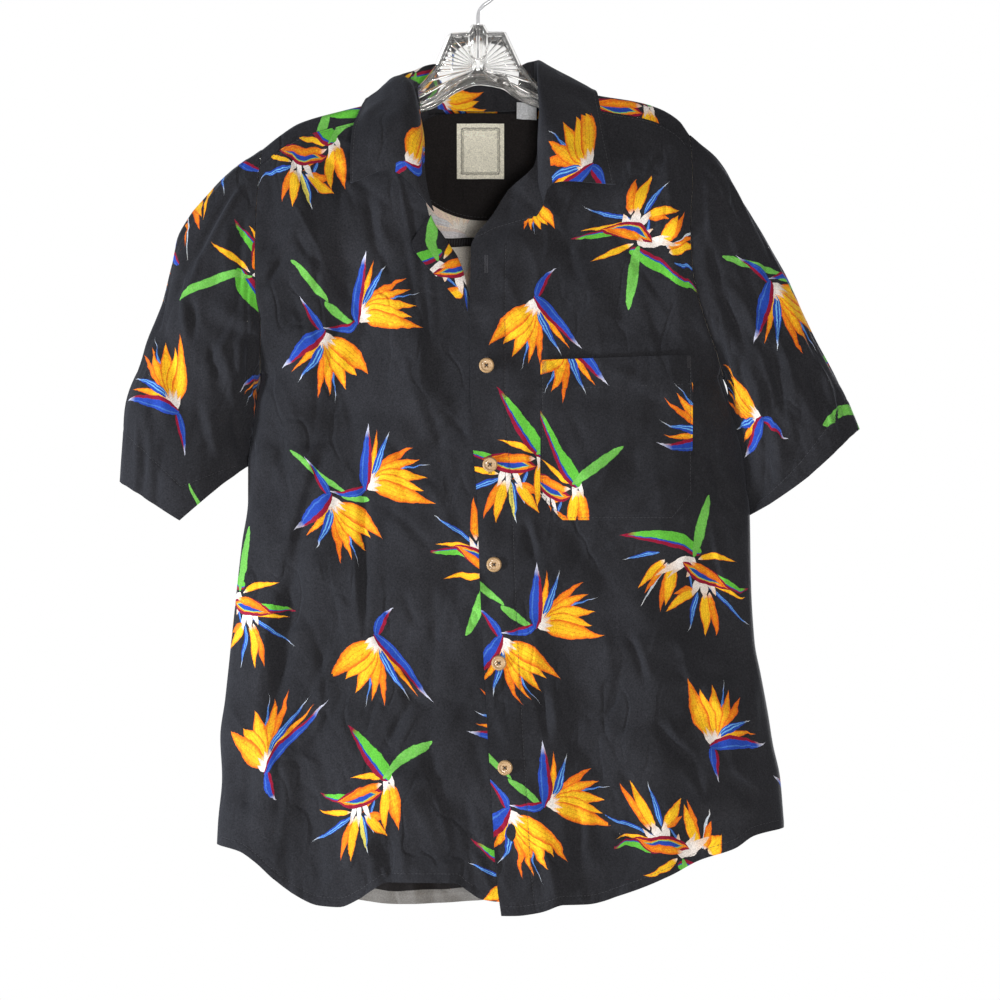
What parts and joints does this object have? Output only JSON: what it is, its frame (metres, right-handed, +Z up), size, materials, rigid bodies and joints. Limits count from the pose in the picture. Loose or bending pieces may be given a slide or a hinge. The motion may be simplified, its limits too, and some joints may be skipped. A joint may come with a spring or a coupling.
{
  "type": "hawaiian shirt on a hanger",
  "caption": "Short-sleeved flower-print shirt with an open camp collar and a chest pocket, hanging on a clear hanger.",
  "frame": {"origin": "inner top of the hanger's hook, where a rail carries it", "axes": "+Z up, -Y out of the shirt's front, +X towards the wearer's left, which is on the right of someone who looks at the front"},
  "size_m": [0.662, 0.1203, 0.8609],
  "materials": {
    "printed_cotton": "matte woven shirting, charcoal black with a print of orange, yellow, blue, green and crimson bird-of-paradise flowers",
    "plain_cotton": "plain black woven shirting",
    "coconut": "polished coconut shell",
    "cream_label": "cream woven label, bare",
    "grey_label": "pale grey satin tag, bare",
    "clear_plastic": "clear moulded plastic, glossy",
    "bright_wire": "bright plated wire"
  },
  "bodies": {
    "root": {"front_left": "printed_cotton", "front_right": "printed_cotton", "lapel_right": "printed_cotton", "back": "printed_cotton", "yoke": "printed_cotton", "yoke_facing": "plain_cotton", "collar": "printed_cotton", "sleeve_left": "printed_cotton", "sleeve_right": "printed_cotton", "pocket": "printed_cotton", "button_1": "coconut", "button_2": "coconut", "button_3": "coconut", "button_4": "coconut", "button_5": "coconut", "neck_label": "cream_label", "care_label": "grey_label", "hanger": "clear_plastic", "hook": "bright_wire"}
  },
  "joints": []
}
